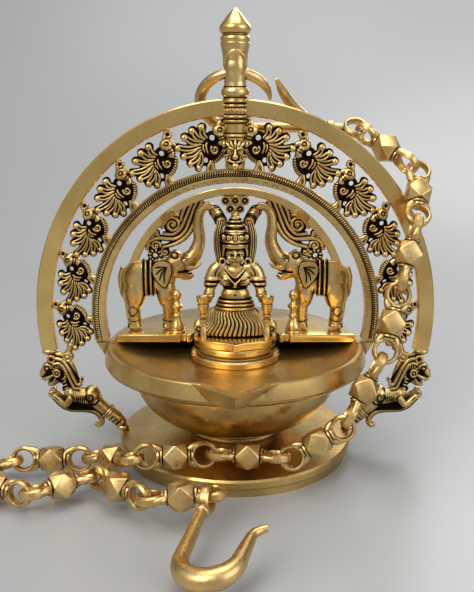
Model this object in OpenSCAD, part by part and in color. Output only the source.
// Hanging chain oil lamp in cast brass, millimetres, +Z up.
// The origin is the centre of the foot's underside, and the lamp faces -Y.

/* [Foot] */
// Radius of the foot's lip
foot_r = 59.5; // [50:0.5:72]
// Height of the recessed ring under the lip
foot_step_h = 4.5; // [3:0.5:8]
// How far the recessed ring stands in from the lip
foot_step_in = 2; // [1:0.5:4]
// Height of the lip
foot_lip_h = 4.3; // [4:0.1:8]
// Rise of the foot's top from the lip to the waist
foot_rise = 2.2; // [1.5:0.1:6]
// Radius of the waist
waist_r = 21.5; // [18:0.5:28]
// Height of the ring round the waist
waist_ring_h = 4; // [3:0.5:6]
// How far the waist ring stands out
waist_ring_out = 3; // [1:0.5:5]
// Height from the foot's underside to the dish's seat
pedestal_h = 44; // [38:1:60]
// Radius of the cup that carries the dish
cup_r = 52; // [44:1:56]
// Thickness of the turned foot's wall
shell_t = 3; // [2:0.5:4]
// Height of the spigot that centres the pedestal in the foot
spigot_h = 1.5; // [1:0.25:2]

/* [Dish] */
// Outer radius of the dish rim
dish_r = 64.6; // [60:0.1:76]
// How far the belly of the dish stands out past the rim
belly_out = 1.4; // [0.5:0.1:4]
// Thickness of the dish wall
dish_wall = 3.5; // [2.5:0.5:5]
// Thickness of the dish floor
dish_floor_t = 4.5; // [3:0.5:8]
// Depth of the dish
dish_depth = 8; // [6:0.5:20]
// Reach of the pouring lip from the dish's centre
spout_reach = 78; // [74:0.5:96]
// Half width of the pouring lip where it leaves the rim
spout_half_w = 19; // [14:0.5:24]

/* [Seat] */
// Radius of the lower seat ring
drum_low_r = 23; // [18:0.5:28]
// Height of the lower seat ring
drum_low_h = 4; // [3:0.5:6]
// Radius of the upper seat ring
drum_top_r = 20.5; // [16:0.5:26]
// Height of the upper seat ring
drum_top_h = 4.5; // [3:0.5:8]
// Radius over the lobes of the seat plinth
plinth_r = 22; // [20:0.5:28]
// Thickness of the seat plinth
plinth_t = 4; // [3:0.5:6]
// Radius of the centre stud
stud_r = 3; // [2.5:0.5:5]
// Height of the seated figure
figure_h = 62; // [50:1:76]

/* [Shelf and plaque] */
// Thickness of the shelf
shelf_t = 4; // [3:0.5:6]
// Distance of the shelf's front edge behind the lamp's middle
shelf_front = 4; // [2:0.5:7]
// Height of the shelf's top over the dish rim
shelf_over_rim = 2; // [1:0.5:3.5]
// Outer radius of the plaque band
plaque_r = 58; // [52:0.5:58.5]
// Height of the plaque band's centre over the shelf
plaque_rise = 16.5; // [10:0.5:30]
// Radial width of the plaque band
plaque_w = 4; // [3:0.5:6]
// Thickness of the plaque band
plaque_t = 4; // [3:0.5:6]
// Distance of the plaque band's front behind the lamp's middle
plaque_y = 15; // [14:0.5:18]

/* [Arch] */
// Half width of the outer band
arch_rx = 100; // [96:1:125]
// Half height of the outer band
arch_rz = 106; // [102:1:130]
// Height of the outer band's centre
arch_cz = 70.5; // [66:0.5:76]
// Radial width of the outer band
band_w = 8; // [5:0.5:11]
// Thickness of the outer band
band_t = 4; // [3:0.5:4.5]
// Angle from the crown to each end of the outer band
band_end = 100.5; // [96:0.5:104]
// Outer radius of the corded arch
cord_r = 72; // [70:0.5:76]
// Radial width of the corded arch
cord_w = 6.7; // [4:0.1:7.5]
// Thickness of the corded arch
cord_t = 7; // [5:0.5:9]
// Thickness of the birds
bird_t = 6; // [4:0.5:8]
// Angle from the crown to the first bird
bird_first = 8.7; // [8:0.1:10]
// Angle between neighbouring birds
bird_step = 16.8; // [16:0.1:17.4]
// Thickness of the lion brackets
yali_t = 9; // [6:0.5:12]

/* [Top post] */
// Radius of the post's rings
post_r = 6.2; // [5:0.1:8]
// Height of the post's eye over the crown of the outer band
eye_over_band = 11.5; // [10:0.5:16]
// Radius of the hole through the post
post_hole_r = 3.4; // [3.2:0.1:4]
// Height of the finial
finial_h = 15.5; // [10:0.5:24]
// Largest radius of the finial
finial_r = 7.5; // [6:0.5:10]

/* [Chain] */
// Radius of the hook's rod
rod_r = 2.4; // [1.8:0.1:2.6]
// Radius of the hook's bow
bow_r = 17; // [15:0.5:22]
// Length of the hook's straight shank
shank_l = 41.5; // [36:0.5:52]
// How far the hook leans back behind the arch
hook_lean = 40; // [36:1:48]
// Distance between the two eyes of a link
link_pitch = 26.5; // [24:0.5:32]
// Distance between the centres of two linked eyes
eye_gap = 6.8; // [6.5:0.1:6.9]
// Outer radius of an eye
eye_r = 6.2; // [6:0.1:6.8]
// Radius of the hole in an eye
eye_hole_r = 4.2; // [4.1:0.1:4.6]
// Width of an eye along its axis
eye_w = 4.2; // [3.6:0.1:4.3]
// Half width of a link's faceted bead
bead_a = 5.4; // [4:0.1:6]

/* [Ceiling hook] */
// Length from the eye to the bend of the ceiling hook
claw_shank = 34; // [28:0.5:48]
// Radius of the bend, to the middle of the bar
claw_bend_r = 11.5; // [10:0.5:16]
// Radius of the bar in the bend
claw_bar_r = 4.6; // [3:0.1:5]
// Radius of the bar at its two ends
claw_end_r = 2.4; // [1.8:0.1:2.8]
// Length of the straight arm at the tip
claw_tip_l = 14; // [8:0.5:20]

/* [Hidden] */
$fn = 64;
// Gap between neighbouring pieces that are fixed together
fit = 0.2;

// Heights
lip_z = foot_step_h + foot_lip_h;
waist_z = lip_z + foot_rise;
neck_z = waist_z + waist_ring_h;
web_t = 3.5;
web_z = neck_z - 1;
floor_z = pedestal_h + dish_floor_t;
rim_z = floor_z + dish_depth;
drum_z = floor_z + drum_low_h;
plinth_z = drum_z + drum_top_h;
seat_z = plinth_z + plinth_t;
shelf_z = rim_z + shelf_over_rim;
plaque_cz = shelf_z + plaque_rise;
cord_cz = rim_z + fit + 15;
cord_top = cord_cz + cord_r;
band_top = arch_cz + arch_rz;
eye_z = band_top + eye_over_band;

// Post levels, from the crown of the corded arch upwards
post_z = cord_top + fit;
mask_top = post_z + 15;
block_top = mask_top + 7;
rings_top = band_top + fit + 1;
collar_top = rings_top + 3.3;
eye_top = eye_z + 8;
post_top = eye_top + 6;
spigot_r = 2.6;
spigot_l = 4;

// Chain lie: for each link, its heading round from +X and its climb from the level
link_lie = [[-35, -30], [-100, -45], [-130, -65], [-125, -65], [-150, -55],
            [-175, -30], [175, 0], [185, 0], [140, -15], [180, 0],
            [-135, 0], [-20, -5], [35, 0], [-40, 0], [0, 5]];
// The same two angles for the ceiling hook
claw_lie = [-105, -10];

bird_count = 6;
brass = "goldenrod";
dark_brass = "darkgoldenrod";
warm_brass = "peru";

// Unit vector at a heading h and a climb c
function pointing(h, c) = [cos(c) * cos(h), cos(c) * sin(h), sin(c)];

// Frame of the next link [first eye, direction, eye axis] from the eye before it and that eye's axis
function next_link(eye, axis, lie) =
    let (dir = pointing(lie[0], lie[1]))
    let (across = dir - (dir * axis) * axis)
    let (gap = across / norm(across))
    [eye + eye_gap * gap, dir, cross(gap, axis)];

// Frames of all links from link i on
function links_from(i, eye, axis) =
    i == len(link_lie) ? [] :
    let (f = next_link(eye, axis, link_lie[i]))
    concat([f], links_from(i + 1, f[0] + link_pitch * f[1], f[2]));

// A point of the hook's own plane, x across and z up from the post's hole, after its lean
function leaned(p) = [p[0], -p[1] * sin(hook_lean), eye_z + p[1] * cos(hook_lean)];

neck_l = 8;
bow_lift = 0.5;
shank_z = bow_lift - 2 * bow_r;
neck_gap = 4.8;
hook_eye_x = shank_l + neck_l + neck_gap + eye_r;
hook_eye = leaned([hook_eye_x, shank_z]);
hook_axis = [0, -sin(hook_lean), cos(hook_lean)];
link_frames = links_from(0, hook_eye, hook_axis);
last_link = link_frames[len(link_frames) - 1];
claw_frame = next_link(last_link[0] + link_pitch * last_link[1], last_link[2], claw_lie);

// Places children in the frame of a link: x along it, z along the axis of its eyes
module at_frame(f) {
    side = cross(f[2], f[1]);
    multmatrix([[f[1][0], side[0], f[2][0], f[0][0]],
                [f[1][1], side[1], f[2][1], f[0][1]],
                [f[1][2], side[2], f[2][2], f[0][2]]])
        children();
}

// Stands a flat outline drawn in x and z upright, between y0 and y0 + t
module upright(y0, t) {
    translate([0, y0 + t, 0])
        rotate([90, 0, 0])
            linear_extrude(height = t)
                children();
}

// Flat limb through a list of points, tapering from one width to another, with knuckles at the points
module limb(points, w0, w1) {
    last = len(points) - 1;
    for (i = [0 : last]) {
        w = w0 + (w1 - w0) * i / last;
        translate(points[i])
            circle(d = w * 1.12, $fn = 12);
        if (i < last) {
            d = points[i + 1] - points[i];
            translate(points[i])
                rotate(atan2(d[1], d[0]))
                    translate([0, -w / 2])
                        square([norm(d), w]);
        }
    }
}

// Foot, waist and cup as one hollow turning, with a web for the centre stud
function cup_curve(r0, z0) = [for (a = [0 : 10 : 90])
    [r0 + (cup_r - waist_r) * sin(a), z0 + (pedestal_h - z0) * (1 - cos(a))]];

module foot() {
    color(warm_brass)
        rotate_extrude()
            polygon([[foot_r - foot_step_in, 0], [foot_r - foot_step_in, foot_step_h],
                     [foot_r, foot_step_h], [foot_r, lip_z - 1], [foot_r - 1, lip_z],
                     [waist_r + waist_ring_out, waist_z], [waist_r - shell_t, waist_z],
                     [waist_r - shell_t, waist_z - shell_t + 1],
                     [foot_r - foot_step_in - shell_t, lip_z - shell_t],
                     [foot_r - foot_step_in - shell_t, 0]]);
}

// Hollow cup on a ringed waist, with a spigot that centres it in the foot
module pedestal() {
    inner = cup_curve(waist_r - shell_t, web_z + web_t);
    spigot_r = waist_r - shell_t - fit;
    color(warm_brass)
        rotate_extrude()
            polygon(concat(
                [[spigot_r, waist_z - spigot_h], [spigot_r, waist_z],
                 [waist_r + waist_ring_out, waist_z], [waist_r + waist_ring_out, neck_z - 0.5],
                 [waist_r, neck_z]],
                [for (p = cup_curve(waist_r, neck_z + 1)) p],
                [for (i = [len(inner) - 1 : -1 : 0]) inner[i]],
                [[stud_r + fit, web_z + web_t], [stud_r + fit, web_z],
                 [spigot_r - shell_t, web_z], [spigot_r - shell_t, waist_z - spigot_h]]));
}

module spout_outline(inset) {
    root_y = sqrt(dish_r * dish_r - spout_half_w * spout_half_w) - dish_wall / 2;
    polygon([[-spout_half_w + inset, -root_y + inset], [spout_half_w - inset, -root_y + inset],
             [0, -spout_reach + 1.5 * inset]]);
}

module dish() {
    belly_r = dish_r + belly_out;
    inner_r = dish_r - dish_wall;
    ear_x = sqrt(cord_r * cord_r - 15 * 15);
    color(warm_brass)
        difference() {
            union() {
                rotate_extrude()
                    polygon([[stud_r + fit, pedestal_h], [cup_r, pedestal_h],
                             [belly_r - 1.5, floor_z - 1.5], [belly_r, floor_z],
                             [dish_r, rim_z - 0.6], [dish_r - 0.6, rim_z],
                             [inner_r + 0.6, rim_z], [inner_r, rim_z - 0.6],
                             [inner_r, floor_z + 2.5], [inner_r - 2.5, floor_z],
                             [stud_r + fit, floor_z]]);
                translate([0, 0, floor_z])
                    linear_extrude(height = dish_depth)
                        spout_outline(0);
                for (side = [-1, 1])
                    translate([side * (dish_r - dish_wall + ear_x) / 2, 0, (floor_z + rim_z) / 2])
                        cube([ear_x - dish_r + dish_wall - 1, cord_t, dish_depth], center = true);
            }
            translate([0, 0, floor_z + dish_wall / 2])
                linear_extrude(height = dish_depth)
                    spout_outline(dish_wall);
        }
}

module centre_stud() {
    color(dark_brass)
        translate([0, 0, web_z - 6])
            cylinder(r = stud_r, h = drum_z + 1 - web_z + 6);
}

module stud_nut() {
    color(dark_brass)
        translate([0, 0, web_z - 5])
            difference() {
                cylinder(r = stud_r * 1.9, h = 5, $fn = 6);
                translate([0, 0, -1])
                    cylinder(r = stud_r + 0.02, h = 7);
            }
}

module seat_drum() {
    color(brass)
        rotate_extrude()
            polygon([[stud_r + 0.02, floor_z], [drum_low_r, floor_z],
                     [drum_low_r, drum_z - 1], [drum_low_r - 1, drum_z], [drum_top_r - 1, drum_z],
                     [drum_top_r, drum_z + 1], [drum_top_r, plinth_z - 0.6],
                     [drum_top_r - 0.6, plinth_z], [0, plinth_z], [0, drum_z + 1.2],
                     [stud_r + 0.02, drum_z + 1.2]]);
}

// Lobed slab: a disc with eight round lobes on its rim
module seat_plinth() {
    lobe_r = plinth_r / 3.6;
    color(brass)
        translate([0, 0, plinth_z])
            linear_extrude(height = plinth_t) {
                circle(r = plinth_r - lobe_r * 0.7);
                for (a = [0 : 45 : 315])
                    rotate(a + 22.5)
                        translate([plinth_r - lobe_r, 0])
                            circle(r = lobe_r);
            }
}

// Seated figure: crossed legs, waist, chest, arms, head and crown
module goddess() {
    h = figure_h;
    z0 = seat_z;
    color(brass)
        translate([0, -1, 0]) {
            for (side = [-1, 1])
                hull() {
                    translate([side * 0.27 * h, -0.02 * h, z0 + 0.085 * h])
                        sphere(r = 0.085 * h, $fn = 24);
                    translate([-side * 0.05 * h, -0.13 * h, z0 + 0.075 * h])
                        sphere(r = 0.075 * h, $fn = 24);
                }
            translate([0, 0, z0])
                rotate_extrude()
                    polygon([[0, 0], [0.19 * h, 0], [0.19 * h, 0.12 * h], [0.13 * h, 0.2 * h],
                             [0.105 * h, 0.3 * h], [0.15 * h, 0.44 * h], [0.14 * h, 0.5 * h],
                             [0.06 * h, 0.55 * h], [0.06 * h, 0.6 * h], [0, 0.6 * h]]);
            for (side = [-1, 1])
                hull() {
                    translate([side * 0.17 * h, 0, z0 + 0.46 * h])
                        sphere(r = 0.055 * h, $fn = 24);
                    translate([side * 0.21 * h, -0.06 * h, z0 + 0.26 * h])
                        sphere(r = 0.045 * h, $fn = 24);
                }
            translate([0, -0.02 * h, z0 + 0.66 * h])
                sphere(r = 0.105 * h, $fn = 32);
            translate([0, 0, z0 + 0.7 * h])
                cylinder(r1 = 0.13 * h, r2 = 0.05 * h, h = 0.3 * h - 0.5);
        }
}

// Lotus cup on a short post
module lotus_post(side) {
    h = 0.36 * figure_h;
    color(brass)
        translate([side * 0.705 * plinth_r, -0.58 * plinth_r, seat_z])
            rotate_extrude()
                polygon([[0, 0], [2.4, 0], [2.4, 1.2], [1.7, 2.2], [1.6, 0.42 * h], [2.2, 0.46 * h],
                         [1.7, 0.52 * h], [2.9, 0.7 * h], [3.1, h], [1.8, h], [0, 0.86 * h]]);
}

module shelf() {
    inner_r = dish_r - dish_wall - fit;
    color(brass)
        translate([0, 0, shelf_z - shelf_t])
            linear_extrude(height = shelf_t)
                difference() {
                    intersection() {
                        circle(r = inner_r);
                        translate([-dish_r, shelf_front])
                            square([2 * dish_r, dish_r]);
                    }
                    circle(r = max(plinth_r, drum_low_r) + fit);
                }
}

// Small turned post with a ball
module turned_post(side) {
    color(brass)
        translate([side * 30, shelf_front + 4.4, shelf_z])
            rotate_extrude()
                polygon(concat(
                    [[0, 0], [4.2, 0], [4.4, 1.2], [3.9, 2.4], [2.4, 4.5], [1.8, 7.5], [1.7, 11],
                     [2.4, 11.5], [1.8, 12.4], [1.8, 13.6], [3, 14.6], [3, 15.3], [1.6, 16.4],
                     [1.2, 17.6]],
                    [for (a = [-60 : 15 : 90]) [2.5 * cos(a), 20.2 + 2.5 * sin(a)]]));
}

// Sector of a ring about a centre, from the crown down to angle a on both sides
module arch_sector(rx, rz, w, a) {
    steps = 72;
    polygon(concat(
        [for (i = [0 : steps]) let (t = -a + 2 * a * i / steps) [rx * sin(t), rz * cos(t)]],
        [for (i = [steps : -1 : 0]) let (t = -a + 2 * a * i / steps)
            [(rx - w) * sin(t), (rz - w) * cos(t)]]));
}

// Ring cut off flat at a height, standing on its two cut ends
module standing_ring(r, w, cz, foot_z) {
    difference() {
        translate([0, cz])
            circle(r = r);
        translate([0, cz])
            circle(r = r - w);
        translate([-2 * r, foot_z - 4 * r])
            square([4 * r, 4 * r]);
    }
}

module plaque_band() {
    color(brass)
        upright(plaque_y, plaque_t)
            standing_ring(plaque_r, plaque_w, plaque_cz, shelf_z);
}

// Elephant in profile with its trunk raised, inside the plaque band
module elephant_outline() {
    $fn = 12;
    z0 = shelf_z;
    translate([-43, z0 + 24])
        circle(r = 11);
    translate([-36, z0 + 25])
        circle(r = 10);
    translate([-28.5, z0 + 30])
        circle(r = 8);
    for (x = [-49.5, -42.5, -36.5, -31])
        translate([x, z0])
            square([5, 22]);
    limb([[-25, z0 + 33], [-20, z0 + 40], [-19, z0 + 48], [-16.5, z0 + 56], [-12.5, z0 + 62]], 7, 3.6);
    limb([[-24, z0 + 26], [-17.5, z0 + 27.5]], 3, 3);
}

module inside_plaque() {
    intersection() {
        children();
        translate([0, plaque_cz])
            circle(r = plaque_r - plaque_w - fit);
        translate([-plaque_r, shelf_z])
            square([2 * plaque_r, 4 * plaque_r]);
    }
}

module elephant(side) {
    color(brass)
        mirror([side > 0 ? 1 : 0, 0, 0])
            upright(plaque_y - 2, plaque_t + 2)
                inside_plaque()
                    elephant_outline();
}

// Foliage that fills the space between the trunk and the band
module scroll(side) {
    $fn = 12;
    z0 = shelf_z;
    color(brass)
        mirror([side > 0 ? 1 : 0, 0, 0])
            upright(plaque_y + 0.5, plaque_t - 1)
                difference() {
                    inside_plaque() {
                        limb([[-47, z0 + 39], [-38, z0 + 41], [-30, z0 + 43], [-24, z0 + 50],
                              [-21, z0 + 59], [-13, z0 + 69.5]], 7, 4);
                        translate([-33, z0 + 50])
                            circle(r = 6);
                        translate([-26, z0 + 60])
                            circle(r = 5);
                    }
                    translate([-33, z0 + 51])
                        circle(r = 1.6);
                    translate([-28.5, z0 + 30])
                        circle(r = 8 + fit);
                    translate([-36, z0 + 25])
                        circle(r = 10 + fit);
                    translate([-43, z0 + 24])
                        circle(r = 11 + fit);
                    limb([[-25, z0 + 33], [-20, z0 + 40], [-19, z0 + 48], [-16.5, z0 + 56],
                          [-12.5, z0 + 62]], 7 + 2 * fit, 3.6 + 2 * fit);
                }
}

// Cluster of round flowers under the crown of the plaque band
module flower_cluster() {
    top = plaque_cz + plaque_r - plaque_w - fit;
    color(brass)
        upright(plaque_y - 0.5, plaque_t)
            intersection() {
                translate([0, plaque_cz])
                    circle(r = plaque_r - plaque_w - fit);
                union() {
                    for (row = [0 : 2])
                        for (i = [0 : 2 - row])
                            translate([(i - (2 - row) / 2) * 4.6, top - 2 - row * 4])
                                circle(r = 2.5);
                    translate([-2, top - 3])
                        square([4, 4]);
                }
            }
}

module corded_arch() {
    color(dark_brass)
        upright(-cord_t / 2, cord_t)
            standing_ring(cord_r, cord_w, cord_cz, rim_z + fit);
}

module outer_band() {
    color(brass)
        upright(-band_t / 2, band_t)
            translate([0, arch_cz])
                arch_sector(arch_rx, arch_rz, band_w, band_end);
}

// Space between the corded arch and the outer band that the birds fill
module bird_space() {
    difference() {
        translate([0, arch_cz])
            arch_sector(arch_rx - band_w - fit, arch_rz - band_w - fit, arch_rx / 2, band_end + 4);
        translate([0, cord_cz])
            circle(r = cord_r + fit);
        translate([-post_r - fit, cord_cz])
            square([2 * (post_r + fit), 2 * arch_rz]);
    }
}

// Bird in profile on the corded arch, with its tail fan on the outer side
module bird_outline() {
    $fn = 12;
    difference() {
        union() {
            translate([0, cord_r + 9])
                circle(r = 6.6);
            translate([-4.2, cord_r + 9])
                circle(r = 5.4);
            translate([2.6, cord_r + 15.5])
                circle(r = 3.6);
            limb([[1, cord_r + 17], [-1, cord_r + 22], [-2, cord_r + 30]], 3, 2.4);
            polygon([[-3, cord_r - 1], [5, cord_r - 1], [2, cord_r + 6], [-1, cord_r + 6]]);
            limb([[-4, cord_r + 9], [-9.4, cord_r + 9]], 3, 3);
            limb([[2, cord_r + 9], [9.4, cord_r + 10.5]], 3, 2.4);
        }
        translate([-2.6, cord_r + 13.2])
            circle(r = 1.1);
        translate([-2.4, cord_r + 4.8])
            circle(r = 1.1);
    }
}

// Birds 1 to 6 stand on the left from the crown down, 7 to 12 on the right
module peacock(number) {
    right = number > bird_count;
    place = (number - 1) % bird_count;
    half_step = bird_step / 2;
    color(dark_brass)
        mirror([right ? 1 : 0, 0, 0])
            upright(-bird_t / 2, bird_t)
                intersection() {
                    bird_space();
                    translate([0, cord_cz])
                        rotate(bird_first + bird_step * place) {
                            bird_outline();
                        }
                    translate([0, cord_cz])
                        rotate(bird_first + bird_step * place)
                            polygon([[0, 0], [2 * arch_rz * sin(half_step - 0.1), 2 * arch_rz],
                                     [-2 * arch_rz * sin(half_step - 0.1), 2 * arch_rz]]);
                }
}

// End of the outer band on the left
band_end_x = -(arch_rx - band_w / 2) * sin(band_end);
band_end_z = arch_cz + (arch_rz - band_w / 2) * cos(band_end);

// Round bead on a short stem between the lowest bird and the bracket
module tie_bead(side) {
    $fn = 12;
    color(dark_brass)
        mirror([side > 0 ? 1 : 0, 0, 0])
            upright(-bird_t / 2, bird_t)
                difference() {
                    union() {
                        limb([[band_end_x + 10.5, band_end_z + 3], [band_end_x + 8.6, band_end_z - 4]], 3.2, 3.2);
                        translate([band_end_x + 8.6, band_end_z - 4])
                            circle(r = 3.2);
                    }
                    translate([band_end_x + 2, band_end_z - 7])
                        circle(r = 8 + fit);
                }
}

// Lion bracket from the foot's lip to the end of the outer band
module yali(side) {
    $fn = 12;
    foot_x = -foot_r - fit;
    color(dark_brass)
        mirror([side > 0 ? 1 : 0, 0, 0])
            difference() {
                upright(-yali_t / 2, yali_t)
                    difference() {
                        union() {
                            translate([band_end_x + 2, band_end_z - 7])
                                circle(r = 8);
                            limb([[band_end_x + 1, band_end_z - 12], [band_end_x + 6, band_end_z - 22],
                                  [band_end_x + 14, band_end_z - 32], [foot_x - 8, 12],
                                  [foot_x + 2, lip_z - 2.6]], 14, 5);
                            limb([[band_end_x + 2, band_end_z - 24], [band_end_x - 2, band_end_z - 26]], 7, 7);
                            limb([[band_end_x - 2, band_end_z - 29], [band_end_x + 8, band_end_z - 38],
                                  [foot_x - 12, 6], [foot_x - 9, 2]], 4, 3.6);
                        }
                        translate([band_end_x + 1, band_end_z - 15])
                            circle(r = 1.6);
                        translate([0, arch_cz])
                            arch_sector(arch_rx + 3, arch_rz + 3, band_w + 6, band_end + 0.12);
                    }
                cylinder(r = foot_r + fit, h = lip_z * 4, center = true, $fn = 64);
            }
}

// Turned post on the crown, slotted for the outer band and drilled for the hook
module top_post() {
    color(brass)
        difference() {
            union() {
                rotate_extrude()
                    polygon([[0, post_z], [post_r - 1.4, post_z], [post_r - 1.2, mask_top],
                             [post_r - 0.4, mask_top], [post_r - 0.4, block_top], [post_r, block_top],
                             [post_r, rings_top], [post_r + 0.4, rings_top + 0.4],
                             [post_r + 0.4, collar_top - 0.4], [post_r - 0.4, collar_top],
                             [post_r - 0.4, eye_top], [post_r + 0.8, post_top], [spigot_r + 0.05, post_top],
                             [spigot_r + 0.05, post_top - spigot_l - 0.4],
                             [0, post_top - spigot_l - 0.4]]);
            }
            translate([-2 * post_r, 0, eye_z])
                rotate([0, 90, 0])
                    cylinder(r = post_hole_r, h = 4 * post_r);
            translate([-2 * post_r, -band_t / 2 - 0.05, band_top - band_w - 0.6])
                cube([4 * post_r, band_t + 0.1, band_w + 0.7]);
        }
}

module finial() {
    color(brass)
        translate([0, 0, post_top])
            rotate_extrude()
                polygon([[0, -spigot_l], [spigot_r, -spigot_l], [spigot_r, 0], [finial_r - 0.5, 0],
                         [finial_r - 0.3, 2.6], [finial_r - 1.6, 3.4], [finial_r - 0.8, 4.4],
                         [finial_r, 6.4], [finial_r - 0.8, 7.6], [0.3, finial_h], [0, finial_h]]);
}

// Lion mask with a pendant ball, on the front of the post's lower end
module lion_face() {
    face_y = -post_r - 2.6;
    color(dark_brass)
        difference() {
            union() {
                translate([0, -post_r + 1.6, post_z + 9])
                    sphere(r = 5.4);
                translate([0, -post_r + 0.4, post_z + 5])
                    sphere(r = 4);
                translate([0, face_y + 1.2, post_z + 1.6])
                    sphere(r = 2);
            }
            translate([0, 0, post_z - 1])
                cylinder(r = post_r - 1 + fit, h = mask_top);
            upright(-cord_t / 2 - fit, cord_t + 2 * fit)
                translate([0, cord_cz])
                    circle(r = cord_r + fit);
        }
}

// Ring eye about the origin, its axis along z
module eye(outer_r, hole_r, w) {
    difference() {
        cylinder(r = outer_r, h = w, center = true);
        cylinder(r = hole_r, h = 2 * w, center = true);
    }
}

// Round bar between two points [x, z], with a ball at its far end
module round_bar(from, to, r1, r2) {
    d = to - from;
    translate([from[0], 0, from[1]])
        rotate([0, atan2(d[0], d[1]), 0])
            cylinder(r1 = r1, r2 = r2, h = norm(d), $fn = 32);
    translate([to[0], 0, to[1]])
        sphere(r = r2 + 0.4, $fn = 32);
}

// Open ring with its shank, neck rings, tongue and eye, in the leaned plane of the post's hole
module suspension_hook() {
    tongue_x = bow_r + 11;
    tongue_z = shank_z + 12;
    color(dark_brass)
        translate([0, 0, eye_z])
            rotate([hook_lean, 0, 0]) {
                translate([0, 0, bow_lift - bow_r])
                    rotate([90, 0, 0])
                        rotate([0, 0, 20])
                            rotate_extrude(angle = 250)
                                translate([bow_r, 0])
                                    circle(r = rod_r, $fn = 32);
                translate([0.3, 0, shank_z])
                    rotate([0, 90, 0])
                        cylinder(r = rod_r, h = shank_l, $fn = 32);
                // Knuckle where the bow runs into the shank
                translate([-1, 0, shank_z])
                    rotate([0, 90, 0])
                        cylinder(r = rod_r + 0.6, h = 2.5);
                translate([shank_l, 0, shank_z])
                    rotate([0, 90, 0])
                        rotate_extrude()
                            polygon([[0, 0], [rod_r + 1.2, 0], [rod_r + 1.2, 1.6], [rod_r + 0.4, 2.2],
                                     [rod_r + 1.2, 2.8], [rod_r + 1.2, 4.4], [rod_r + 0.4, 5],
                                     [rod_r + 1.2, 5.6], [rod_r + 1.2, neck_l], [0, neck_l]]);
                translate([shank_l + neck_l - 1, 0, shank_z])
                    rotate([0, 90, 0])
                        cylinder(r = rod_r * 0.7, h = neck_gap + 2);
                translate([hook_eye_x, 0, shank_z])
                    eye(eye_r, eye_hole_r, eye_w);
                // Tongue that rises from the shank towards the bow's tip
                round_bar([shank_l - 3, shank_z], [tongue_x, tongue_z], rod_r - 0.4, rod_r - 0.6);
                round_bar([tongue_x, tongue_z], [tongue_x - 5.5, tongue_z + 13], rod_r - 0.6, rod_r * 0.5);
            }
}

// Faceted bead: a cube with its corners cut to the middles of its edges
module bead(a) {
    points = [[a, a, 0], [a, 0, a], [a, -a, 0], [a, 0, -a], [-a, a, 0], [-a, 0, a], [-a, -a, 0],
              [-a, 0, -a], [0, a, a], [0, -a, a], [0, -a, -a], [0, a, -a]];
    faces = [[0, 3, 2, 1], [4, 5, 6, 7], [8, 1, 9, 5], [11, 7, 10, 3], [0, 8, 4, 11], [2, 10, 6, 9],
             [0, 1, 8], [1, 2, 9], [2, 3, 10], [3, 0, 11], [4, 8, 5], [5, 9, 6], [6, 10, 7], [7, 11, 4]];
    polyhedron(points, faces);
}

// Link: two eyes in one plane, joined by collars and a faceted bead
module link_form() {
    collar_r = eye_w * 0.86;
    inner_end = (eye_r + eye_hole_r) / 2;
    eye(eye_r, eye_hole_r, eye_w);
    translate([link_pitch, 0, 0])
        eye(eye_r, eye_hole_r, eye_w);
    translate([link_pitch / 2, 0, 0])
        bead(bead_a);
    translate([inner_end, 0, 0])
        rotate([0, 90, 0])
            cylinder(r = collar_r * 0.8, h = link_pitch - 2 * inner_end);
    for (x = [link_pitch / 2 - bead_a - 1.2, link_pitch / 2 + bead_a - 0.4])
        translate([x, 0, 0])
            rotate([0, 90, 0])
                cylinder(r = collar_r, h = 1.6);
}

module chain_link(number) {
    color(dark_brass)
        at_frame(link_frames[number - 1])
            link_form();
}

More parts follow.
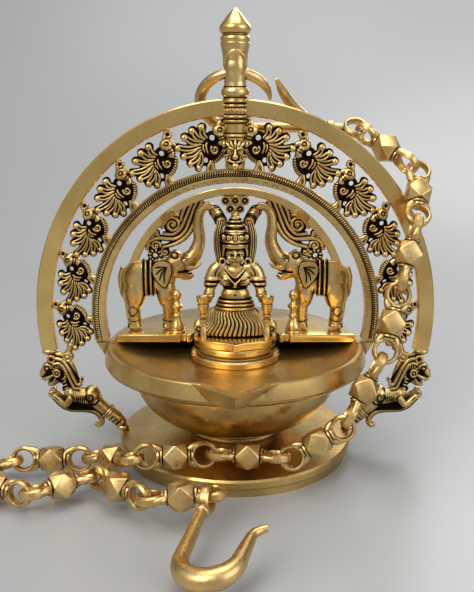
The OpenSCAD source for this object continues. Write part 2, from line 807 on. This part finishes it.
// J hook in the plane across its eye, its bend away from the eye and its tip curled out
module ceiling_hook() {
    neck_x = (eye_r + eye_hole_r) / 2;
    bend_x = claw_shank;
    tip_y = 2 * claw_bend_r;
    color(brass)
        at_frame(claw_frame) {
            eye(eye_r, eye_hole_r, eye_w);
            translate([neck_x, 0, 0])
                rotate([0, 90, 0])
                    cylinder(r1 = claw_end_r, r2 = claw_bar_r, h = bend_x - neck_x);
            translate([neck_x + 3, 0, 0])
                sphere(r = claw_end_r + 1);
            translate([bend_x, 0, claw_bend_r])
                rotate([90, 0, 0])
                    rotate([0, 0, -90])
                        rotate_extrude(angle = 180)
                            translate([claw_bend_r, 0])
                                circle(r = claw_bar_r, $fn = 32);
            translate([bend_x, 0, tip_y])
                rotate([0, -90, 0])
                    cylinder(r1 = claw_bar_r, r2 = claw_end_r, h = claw_tip_l);
            translate([bend_x - claw_tip_l, 0, tip_y])
                sphere(r = claw_end_r);
            translate([bend_x - claw_tip_l, 0, tip_y])
                rotate([0, -55, 0])
                    cylinder(r1 = claw_end_r, r2 = claw_end_r * 0.6, h = 5);
        }
}

foot();
pedestal();
dish();
centre_stud();
stud_nut();
seat_drum();
seat_plinth();
goddess();
lotus_post(-1);  // lotus_post_left
lotus_post(1);  // lotus_post_right
shelf();
turned_post(-1);  // turned_post_left
turned_post(1);  // turned_post_right
plaque_band();
elephant(-1);  // elephant_left
elephant(1);  // elephant_right
scroll(-1);  // scroll_left
scroll(1);  // scroll_right
flower_cluster();
corded_arch();
outer_band();
peacock(1);  // peacock_01
peacock(2);  // peacock_02
peacock(3);  // peacock_03
peacock(4);  // peacock_04
peacock(5);  // peacock_05
peacock(6);  // peacock_06
peacock(7);  // peacock_07
peacock(8);  // peacock_08
peacock(9);  // peacock_09
peacock(10);  // peacock_10
peacock(11);  // peacock_11
peacock(12);  // peacock_12
tie_bead(-1);  // tie_bead_left
tie_bead(1);  // tie_bead_right
yali(-1);  // yali_left
yali(1);  // yali_right
top_post();
finial();
lion_face();
suspension_hook();
chain_link(1);  // link_01
chain_link(2);  // link_02
chain_link(3);  // link_03
chain_link(4);  // link_04
chain_link(5);  // link_05
chain_link(6);  // link_06
chain_link(7);  // link_07
chain_link(8);  // link_08
chain_link(9);  // link_09
chain_link(10);  // link_10
chain_link(11);  // link_11
chain_link(12);  // link_12
chain_link(13);  // link_13
chain_link(14);  // link_14
chain_link(15);  // link_15
ceiling_hook();
